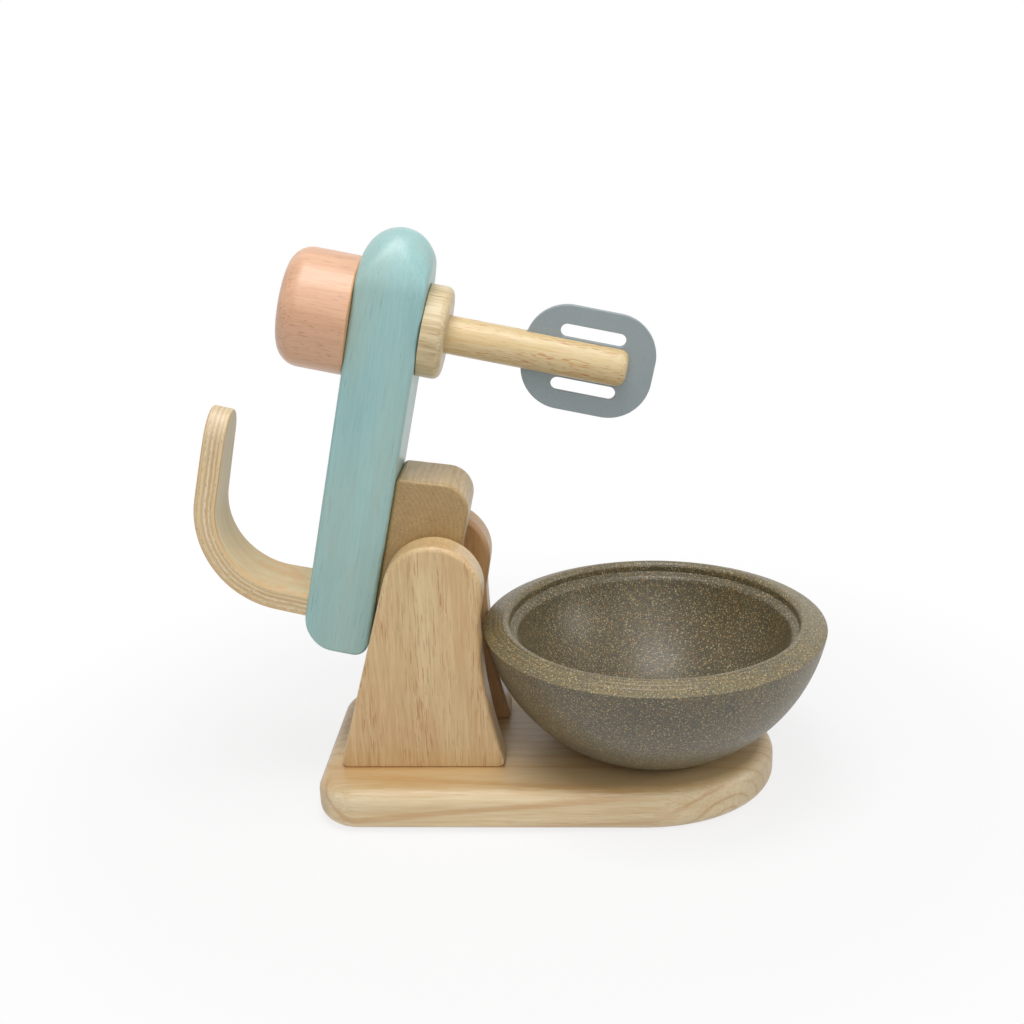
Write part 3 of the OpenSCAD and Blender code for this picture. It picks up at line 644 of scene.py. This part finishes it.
def piece(name, shape, material, body, matrix, node, cuts=(), turn=None, sharp=40):
    """Adds the piece that a plain solid gives way to. The shape, or a mesh, is in a level frame of
    its own, which the matrix sets in the row's frame."""
    obj = add_object(name, mesh_of(name, shape, turn) if isinstance(shape, tuple) else shape)
    cut_away(obj, cuts)
    obj.data.materials.clear()
    obj.data.materials.append(materials[material])
    obj.data.shade_smooth()
    obj.data.set_sharp_from_angle(angle=math.radians(sharp))
    obj.modifiers.new("shading", "WEIGHTED_NORMAL").keep_sharp = True
    obj.matrix_world = matrix
    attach(obj, body)
    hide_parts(node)


def base_outline():
    """Square with round corners at the left, half an oval under the bowl."""
    corner = (-BASE_LEN / 2 + BASE_CORNER_R, BASE_W / 2 - BASE_CORNER_R)
    nose = BASE_LEN / 2 - BASE_NOSE_LEN
    oval = [(nose + BASE_NOSE_LEN * x, BASE_W / 2 * y) for x, y in arc((0, 0), 1, -90, 90, 96)]
    return (oval + arc(corner, BASE_CORNER_R, 90, 180, 32)
            + arc((corner[0], -corner[1]), BASE_CORNER_R, 180, 270, 32))


def upright_outline():
    """Round top, straight left side, and a right side that flares out to the foot."""
    pivot = (PIVOT_X, PIVOT_Z)
    heel = (FOOT_LEFT + FOOT_CORNER_R, BASE_TH + FOOT_CORNER_R)
    out = FOOT_RIGHT - WAIST_X
    flare_r = (FLARE_H ** 2 + out ** 2) / (2 * out)
    flare_c = (WAIST_X + flare_r, BASE_TH + FLARE_H)
    last = math.degrees(math.asin((FLARE_H - FOOT_CORNER_R) / (flare_r + FOOT_CORNER_R)))
    toe = (flare_c[0] - (flare_r + FOOT_CORNER_R) * math.cos(math.radians(last)),
           BASE_TH + FOOT_CORNER_R)
    left = tangent_angle(pivot, UPRIGHT_TOP_R, heel, FOOT_CORNER_R, 1) % 360
    waist = (WAIST_X - FOOT_CORNER_R, BASE_TH + FLARE_H)
    right = tangent_angle(pivot, UPRIGHT_TOP_R, waist, FOOT_CORNER_R, -1) % 360 - 360
    return (arc(heel, FOOT_CORNER_R, left, 270, 12)
            + arc(toe, FOOT_CORNER_R, -90, last, 12)
            + arc(flare_c, flare_r, 180 + last, 180, 48)[1:]
            + arc(pivot, UPRIGHT_TOP_R, right, left, 72))


def block_outline():
    """Hinge block from the side, about the hinge axis: big corners below, where its front reaches
    a little further, and small ones above."""
    low_x = (-BLOCK_BACK + BLOCK_CORNER_R, BLOCK_FRONT + BLOCK_LEAN - BLOCK_CORNER_R)
    top_x = (-BLOCK_BACK + BLOCK_TOP_R, BLOCK_FRONT - BLOCK_TOP_R)
    return hull_of_circles(
        [((x, -BLOCK_DROP + BLOCK_CORNER_R), BLOCK_CORNER_R) for x in low_x]
        + [((x, HEAD_LOW - BLOCK_TOP_R), BLOCK_TOP_R) for x in top_x])


def head_loft():
    """Beam with eased edges and a rounded tail, its nose domed across as well as from top to
    bottom, as rounded rectangles along X."""
    tail = -HEAD_BACK

    def fallen(depth, radius):
        """How far a rounding of this radius has drawn in, at a depth from the end it rounds."""
        depth = min(depth, radius)
        return radius - math.sqrt(radius ** 2 - (radius - depth) ** 2)

    def section(x):
        dome = max(0, x - HEAD_FRONT + NOSE_DOME) / NOSE_DOME
        half_w = HEAD_W / 2 * math.sqrt(max(0, 1 - dome ** 2)) - fallen(x - tail, HEAD_ROUND)
        top = HEAD_TOP - fallen(x - tail, TAIL_TOP_R) - fallen(HEAD_FRONT - x, HEAD_TH / 2)
        low = HEAD_LOW + fallen(x - tail, TAIL_LOW_R) + fallen(HEAD_FRONT - x, HEAD_TH / 2)
        drop = NOSE_DROP * dome ** 2
        roundness = smooth(dome / NOSE_ROUND_BY)
        widest = min(half_w, (top - low) / 2) - SECTION_SLACK
        r = min(HEAD_ROUND * (1 - roundness) + widest * roundness, widest)
        return [(x, y, z - drop)
                for side_y, side_z, start in ((1, -1, -90), (1, 1, 0), (-1, 1, 90), (-1, -1, 180))
                for y, z in arc((side_y * (half_w - r), (low if side_z < 0 else top) - side_z * r),
                                r, start, start + 90, 12)]

    # Sections crowd towards both ends, and the last one stands just short of the dome's tip
    stations = [tail + TAIL_TOP_R * (1 - math.cos(a)) for a in np.radians(np.linspace(0, 90, 25))]
    stations += list(np.linspace(stations[-1], HEAD_FRONT - NOSE_DOME, 30)[1:])
    stations += [HEAD_FRONT - NOSE_DOME * (1 - math.sin(a))
                 for a in np.radians(np.linspace(0, NOSE_LAST_ANGLE, 40)[1:])]
    rings = [section(x) for x in stations]
    return capped([p for ring in rings for p in ring], len(rings[0]))


def handle_mesh():
    """Plywood strip, rounded flat in (along, across, through) and then bent along its line."""
    foot = HEAD_TOP - MORTISE_DEPTH + GLUE_ROOM
    bend = (-HANDLE_DX + HANDLE_TH / 2 + HANDLE_BEND_R, HEAD_TOP + HANDLE_RISE)
    mid_r = HANDLE_BEND_R + HANDLE_TH / 2
    straight, turn = bend[1] - foot, mid_r * math.pi / 2
    total = straight + turn + HANDLE_GRIP
    round_from = total - HANDLE_TIP

    def at(s, n):
        """Place in the XZ plane of a point s along the strip and n out from its middle."""
        if s < straight:
            return -HANDLE_DX - n, foot + s
        if s < straight + turn:
            a = math.pi - (s - straight) / mid_r
            return bend[0] + (mid_r + n) * math.cos(a), bend[1] + (mid_r + n) * math.sin(a)
        a = math.pi / 2 - (s - straight - turn) / HANDLE_DROOP_R
        r, drop = HANDLE_DROOP_R + n, bend[1] + mid_r - HANDLE_DROOP_R
        return bend[0] + r * math.cos(a), drop + r * math.sin(a)

    def half_width(s):
        x, z = at(s, 0)
        return HANDLE_W / 2 - (HANDLE_TAPER_X * max(0, x - bend[0] + HANDLE_BEND_R)
                               + HANDLE_TAPER_Z * max(0, z - HEAD_TOP))

    side = [(s, half_width(s)) for s in np.linspace(0, round_from, 60)]
    tip_w = half_width(round_from)
    side += [(round_from + HANDLE_TIP * math.sin(a), tip_w * math.cos(a))
             for a in np.radians(np.linspace(0, 90, 25)[1:-1])]
    outline = [(s, -y) for s, y in side] + [(total, 0)] + side[::-1]
    points, normals = np.array(outline), outward(outline)
    normals[0], normals[-1] = (0, -1), (0, 1)
    lead = HANDLE_TIP + HANDLE_TIP_LEAD
    radius = (HANDLE_ROUND + (HANDLE_TIP_R - HANDLE_ROUND)
              * smooth((points[:, 0] - total + lead) / lead))
    size, half = len(points), HANDLE_TH / 2
    flat = rounded_rims(points, normals, -half, half, radius, radius, 6)

    # The two broad faces, as strips across, so that they bend with the sheet
    faces = rings_to_faces(len(flat) // size, size)
    for start, flip in ((0, True), (len(flat) - size, False)):
        for i in range(size // 2):
            near, far = start + i, start + size - 1 - i
            quad = [near, near + 1, far - 1, far] if far - near > 2 else [near, near + 1, far]
            faces.append(tuple(reversed(quad)) if flip else tuple(quad))
    verts = [(at(s, n)[0], y, at(s, n)[1]) for s, y, n in flat]
    mesh = mesh_of("bent_handle", (verts, [tuple(reversed(f)) for f in faces]))
    place = mesh.attributes.new("flat", "FLOAT_VECTOR", "POINT")
    place.data.foreach_set("vector", [c * MM for p in flat for c in p])
    return mesh


def paddle_mesh():
    """Flat plate with two slots, its edges eased, built as a filled curve."""
    curve = bpy.data.curves.new("paddle", "CURVE")
    curve.dimensions, curve.fill_mode = "2D", "BOTH"
    curve.extrude, curve.bevel_depth = (PADDLE_TH / 2 - PADDLE_EASE) * MM, PADDLE_EASE * MM
    curve.bevel_resolution, curve.offset = 3, -PADDLE_EASE * MM
    x, z = PADDLE_W / 2 - PADDLE_R, PADDLE_H / 2 - PADDLE_R
    plate = [((side * x, end * z), PADDLE_R) for side in (-1, 1) for end in (-1, 1)]
    loops = [hull_of_circles(plate, 128)]
    reach = (SLOT_LEN - SLOT_W) / 2
    for side in (-1, 1):
        loops.append(hull_of_circles([((side * SLOT_DX, end * reach), SLOT_W / 2)
                                      for end in (-1, 1)], 48))
    for loop in loops:
        spline = curve.splines.new("POLY")
        spline.points.add(len(loop) - 1)
        for point, (px, pz) in zip(spline.points, loop):
            point.co = (px * MM, pz * MM, 0, 1)
        spline.use_cyclic_u = True
    holder = add_object("paddle_curve", curve)
    mesh = evaluated_mesh(holder)
    bpy.data.objects.remove(holder)
    low = HEAD_LOW - SHAFT_DROP - PADDLE_PAST
    mesh.transform(Matrix.Translation((0, 0, (low + PADDLE_H / 2) * MM)) @ STANDING)
    return mesh


def ringed_face(edge, aim, length):
    """Straight face from its outer edge, with shallow turned rings, as (radius, z) points."""
    out = (aim[1], -aim[0])
    places = [(0, -RIM_EASE), (RIM_EASE, 0)]
    for middle in RING_PLACES:
        places += [(middle - RING_HALF_W, 0), (middle - RING_HALF_FLAT, -RING_DEPTH),
                   (middle + RING_HALF_FLAT, -RING_DEPTH), (middle + RING_HALF_W, 0)]
    places.append((length - RIM_FACE_SHORT, 0))
    return [(edge[0] + aim[0] * s + out[0] * d, edge[1] + aim[1] * s + out[1] * d)
            for s, d in places]


def bowl_profile():
    """Outer ball, ringed rim with a crisp edge, mouth, ledge and inner ball."""
    mouth_r, top = RIM_R - RIM_W, RIM_H + RIM_RISE
    start, end = (-math.degrees(math.asin(z / BALL_R)) for z in (BALL_Z, BALL_Z - RIM_H))
    foot = arc((BOWL_FOOT_R - 2 * BOWL_FOOT_EASE, BOWL_FOOT_EASE), BOWL_FOOT_EASE, -90, -45, 3)
    outer = arc((0, BALL_Z), BALL_R, start, end - RIM_EDGE_SHORT_DEG, 48)

    # The face is tangent to the round crest of the mouth
    crest = (mouth_r + MOUTH_ROUND, top - MOUTH_ROUND)
    dx, dz = RIM_R - crest[0], RIM_H - crest[1]
    run = math.sqrt(dx * dx + dz * dz - MOUTH_ROUND ** 2)
    slope = math.atan(MOUTH_ROUND / run) - math.atan(dz / dx)
    face = ringed_face((RIM_R, RIM_H), (-math.cos(slope), math.sin(slope)), run)
    mouth = (arc(crest, MOUTH_ROUND, 90 - math.degrees(slope), 180, 14)
             + arc((mouth_r - MOUTH_LOW_R, top - MOUTH_DEPTH + MOUTH_LOW_RISE), MOUTH_LOW_R,
                   0, -60, 5))

    # The ledge is rounded into the inner ball
    edge = (mouth_r - LEDGE_W, top - MOUTH_DEPTH - LEDGE_DROP)
    rise = edge[1] - BOWL_FLOOR
    in_r = (edge[0] ** 2 + rise ** 2) / (2 * rise)
    in_z = BOWL_FLOOR + in_r
    side = math.degrees(math.asin((edge[1] - in_z) / in_r))
    out = math.degrees(math.atan(LEDGE_DROP / LEDGE_W))
    half = math.radians((out + 90 - side) / 2)
    reach = LEDGE_ROUND / math.sin(half)
    middle = (edge[0] + reach * math.cos(math.radians(out) - half),
              edge[1] + reach * math.sin(math.radians(out) - half))
    ledge = arc(middle, LEDGE_ROUND, out + 90, side + 180, 12)
    inner = arc((0, in_z), in_r, side - 2 * math.degrees(LEDGE_ROUND / math.tan(half) / in_r), -90,
                56)
    return [(0, 0)] + foot + outer[1:] + face + mouth + ledge + inner[:-1] + [(0, BOWL_FLOOR)]


def build_stand():
    """The board and the two uprights."""
    here = Matrix.Identity(4)
    piece("board", slab(base_outline(), 0, BASE_TH, BASE_LOW_ROUND, BASE_TOP_ROUND, 12),
          "board_wood", "stand", here, "base_board",
          plug_holes(FOOT_SCREW_X, (UPRIGHT_GAP + UPRIGHT_TH) / 2, 0))
    outline = upright_outline()
    height = np.array(outline)[:, 1] - BASE_TH
    rounding = (UPRIGHT_FOOT_ROUND + (UPRIGHT_ROUND - UPRIGHT_FOOT_ROUND)
                * smooth((height - ROUND_GROWS_FROM) / ROUND_GROWS_OVER))
    for node, low in (("upright_front", UPRIGHT_GAP / 2),
                      ("upright_rear", -UPRIGHT_GAP / 2 - UPRIGHT_TH)):
        piece(node + "_sanded", slab(outline, low, low + UPRIGHT_TH, rounding, rounding, 8),
              node + "_wood", "stand", here, node, turn=STANDING)


def build_head():
    """The block, the head and the handle."""
    piece("block", slab(block_outline(), -BLOCK_W / 2, BLOCK_W / 2, BLOCK_ROUND, BLOCK_ROUND, 6),
          "block_wood", "head", TIPPED, "hinge_block", turn=STANDING)
    mortise = cutter((HANDLE_TH + 2 * GLUE_ROOM, HANDLE_W + 2 * GLUE_ROOM,
                      MORTISE_DEPTH + CUT_PAST),
                     (-HANDLE_DX, 0, HEAD_TOP - MORTISE_DEPTH / 2 + CUT_PAST / 2))
    piece("head_stained", head_loft(), "head_paint", "head", TIPPED, "head_beam",
          [mortise, *plug_holes(-HANDLE_DX, HANDLE_SCREW_Y, HEAD_LOW)])
    piece("bent_handle", handle_mesh(), "bent_plywood", "head", TIPPED, "handle")


def build_beater():
    """The knob, the collar, the dowel and the paddle, and the washer that stays on the head."""
    knob_low = HEAD_TOP + GLUE_ROOM
    piece("knob_turned",
          turned([(0, knob_low)] + rim(KNOB_D / 2, knob_low, KNOB_LOW_ROUND, -90, 0, 6)
                 + rim(KNOB_D / 2, knob_low + KNOB_H, KNOB_ROUND, 0, 88, 20)
                 + [(0, knob_low + KNOB_H)]),
          "knob_paint", "beater", ON_BEATER, "knob")

    low, high = HEAD_LOW - COLLAR_H, HEAD_LOW - 2 * GLUE_ROOM - COLLAR_WASHER_TH
    bore = SHAFT_D / 2 + GLUE_ROOM
    piece("collar_turned",
          turned([(bore, low)] + rim(COLLAR_D / 2, low, COLLAR_ROUND, -90, 0, 12)
                 + rim(COLLAR_D / 2, high, COLLAR_TOP_ROUND, 0, 90, 4) + [(bore, high)]),
          "collar_wood", "beater", ON_BEATER, "collar")

    # A thin black fibre washer, mostly hidden under the collar; its black also serves as painted
    # shade along the thin gap between collar and head
    washer_r, low = COLLAR_D / 2 + COLLAR_WASHER_LIP, high + GLUE_ROOM
    high, bore = low + COLLAR_WASHER_TH, SHAFT_D / 2 + PASS_ROOM
    piece("collar_washer_thin",
          turned([(bore, low)] + rim(washer_r, low, COLLAR_WASHER_ROUND, -90, 0, 3)
                 + rim(washer_r, high, COLLAR_WASHER_ROUND, 0, 90, 3) + [(bore, high)]),
          "washer_fibre", "head", ON_BEATER, "collar_washer")

    low, high = HEAD_LOW - SHAFT_DROP, knob_low + KNOB_SEAT - GLUE_ROOM
    slot_low, slot_high = low - 2 * CUT_PAST, low - PADDLE_PAST + PADDLE_H + GLUE_ROOM
    piece("beater_dowel",
          turned([(0, low)] + rim(SHAFT_D / 2, low, SHAFT_END_ROUND, -90, 0, 10)
                 + rim(SHAFT_D / 2, high, SHAFT_TOP_ROUND, 0, 90, 4) + [(0, high)], 96),
          "dowel_wood", "beater", ON_BEATER, "beater_shaft",
          [cutter((2 * SHAFT_D, PADDLE_TH + 2 * GLUE_ROOM, slot_high - slot_low),
                  (0, 0, (slot_high + slot_low) / 2))])
    piece("paddle_plate", paddle_mesh(), "paddle_plastic", "beater", ON_BEATER, "paddle")


def dress_plain_solids():
    """Gives every plain solid its material, the hidden ones too."""
    for node, obj in frame["nodes"].items():
        name = slots[node] if slots[node] in materials else node + "_wood"
        obj.data.materials.clear()
        obj.data.materials.append(materials[name])


# Studio

def add_camera():
    """Camera that looks back along +Y, down by the pitch and a little to the left."""
    forward = Vector((-math.sin(CAMERA_YAW) * math.cos(CAMERA_PITCH),
                      math.cos(CAMERA_YAW) * math.cos(CAMERA_PITCH), -math.sin(CAMERA_PITCH)))
    level_right = Vector((math.cos(CAMERA_YAW), math.sin(CAMERA_YAW), 0))
    level_down = forward.cross(level_right)
    right = level_right * math.cos(CAMERA_ROLL) + level_down * math.sin(CAMERA_ROLL)
    down = level_down * math.cos(CAMERA_ROLL) - level_right * math.sin(CAMERA_ROLL)
    data = bpy.data.cameras.new("camera")
    data.sensor_width = SENSOR_MM
    data.lens = FOCAL_PX * SENSOR_MM / IMAGE_PX
    data.clip_start = 0.01
    camera = add_object("camera", data)
    turn = Matrix((right, -down, -forward)).transposed()
    camera.matrix_world = Matrix.Translation(CAMERA_AT) @ turn.to_4x4()
    bpy.context.scene.camera = camera


def add_lamp(name, at, size, power):
    """Soft square lamp that faces the object."""
    data = bpy.data.lights.new(name, "AREA")
    data.shape, data.size, data.energy = "SQUARE", size, power
    lamp = add_object(name, data)
    lamp.location = at
    lamp.rotation_euler = (LAMP_TARGET - Vector(at)).to_track_quat("-Z", "Y").to_euler()


def seen_directly(t):
    """1 for a ray from the camera, or by way of gloss or glass, and 0 for a ray that lights."""
    path = t.node("LightPath").outputs
    return t.math("MAXIMUM", path["Is Camera Ray"],
                  t.math("MAXIMUM", path["Is Glossy Ray"], path["Is Transmission Ray"]))


def add_floor():
    """Pale floor, white to the camera away from the object and with its soft shadow near it."""
    mesh = bpy.data.meshes.new("floor")
    mesh.from_pydata([(x * FLOOR_REACH, y * FLOOR_REACH, 0)
                      for x, y in ((-1, -1), (1, -1), (1, 1), (-1, 1))], [], [(0, 1, 2, 3)])
    floor = add_object("floor", mesh)
    t = Tree(bpy.data.materials.new("floor_paper"))
    paper = t.node("BsdfDiffuse", {"Color": FLOOR_PAPER})
    glow = t.node("Emission", {"Color": WHITE, "Strength": 1.0})
    share = t.times(seen_directly(t),
                    t.step(t.length(t.place()), GLOW_FROM, GLOW_FULL_AT, GLOW_NEAR, 1.0))
    both = t.node("MixShader", {0: share, 1: paper.outputs[0], 2: glow.outputs[0]})
    t.node("OutputMaterial", {"Surface": both.outputs[0]})
    mesh.materials.append(t.owner)


def add_world():
    """Even soft light, seen as plain white."""
    world = bpy.data.worlds.new("studio")
    bpy.context.scene.world = world
    t = Tree(world)
    light = t.node("Background", {"Color": WHITE, "Strength": WORLD_LIGHT})
    white = t.node("Background", {"Color": WHITE, "Strength": 1.0})
    both = t.node("MixShader", {0: seen_directly(t), 1: light.outputs[0], 2: white.outputs[0]})
    t.node("OutputWorld", {"Surface": both.outputs[0]})


build_stand()
build_head()
build_beater()
piece("bowl_turned", turned(bowl_profile(), 256), "bowl_composite", "bowl", IN_BOWL, "bowl",
      sharp=50)
dress_plain_solids()
add_floor()
add_world()
for lamp in LAMPS:
    add_lamp(*lamp)
add_camera()
bpy.context.scene.view_settings.view_transform = "Standard"
